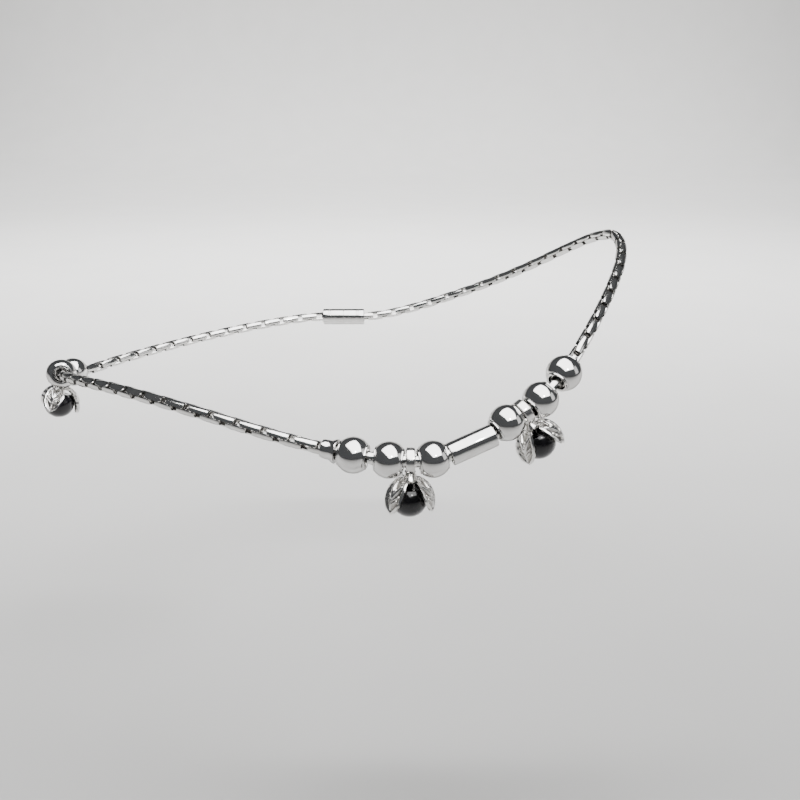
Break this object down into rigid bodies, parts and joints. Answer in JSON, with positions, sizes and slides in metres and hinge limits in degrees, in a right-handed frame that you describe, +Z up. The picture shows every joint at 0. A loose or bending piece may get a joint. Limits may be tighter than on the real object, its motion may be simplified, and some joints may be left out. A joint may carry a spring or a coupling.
{
  "type": "payal anklet",
  "caption": "Silver chain anklet strung with round beads and a plain tube, with tulip-hooded black stone drops hanging from band bails.",
  "frame": {"origin": "middle of the loop, where the ankle passes, as the mount ankle_seat", "axes": "+X towards the wearer's toes, -Y the side that faces out, +Z up the leg"},
  "size_m": [0.1032, 0.0792, 0.0322],
  "materials": {
    "silver": "polished",
    "black_stone": "gloss"
  },
  "bodies": {
    "root": {"chain": "silver", "clasp": "silver", "end_cap": "silver", "bead_1": "silver", "bead_2": "silver", "bead_3": "silver", "bead_4": "silver", "bead_5": "silver", "bead_6": "silver", "bead_heel_1": "silver", "bead_heel_2": "silver", "tube_bead": "silver", "charm_setting_1": "silver", "charm_setting_2": "silver", "charm_setting_3": "silver", "charm_stone_1": "black_stone", "charm_stone_2": "black_stone", "charm_stone_3": "black_stone"}
  },
  "joints": []
}
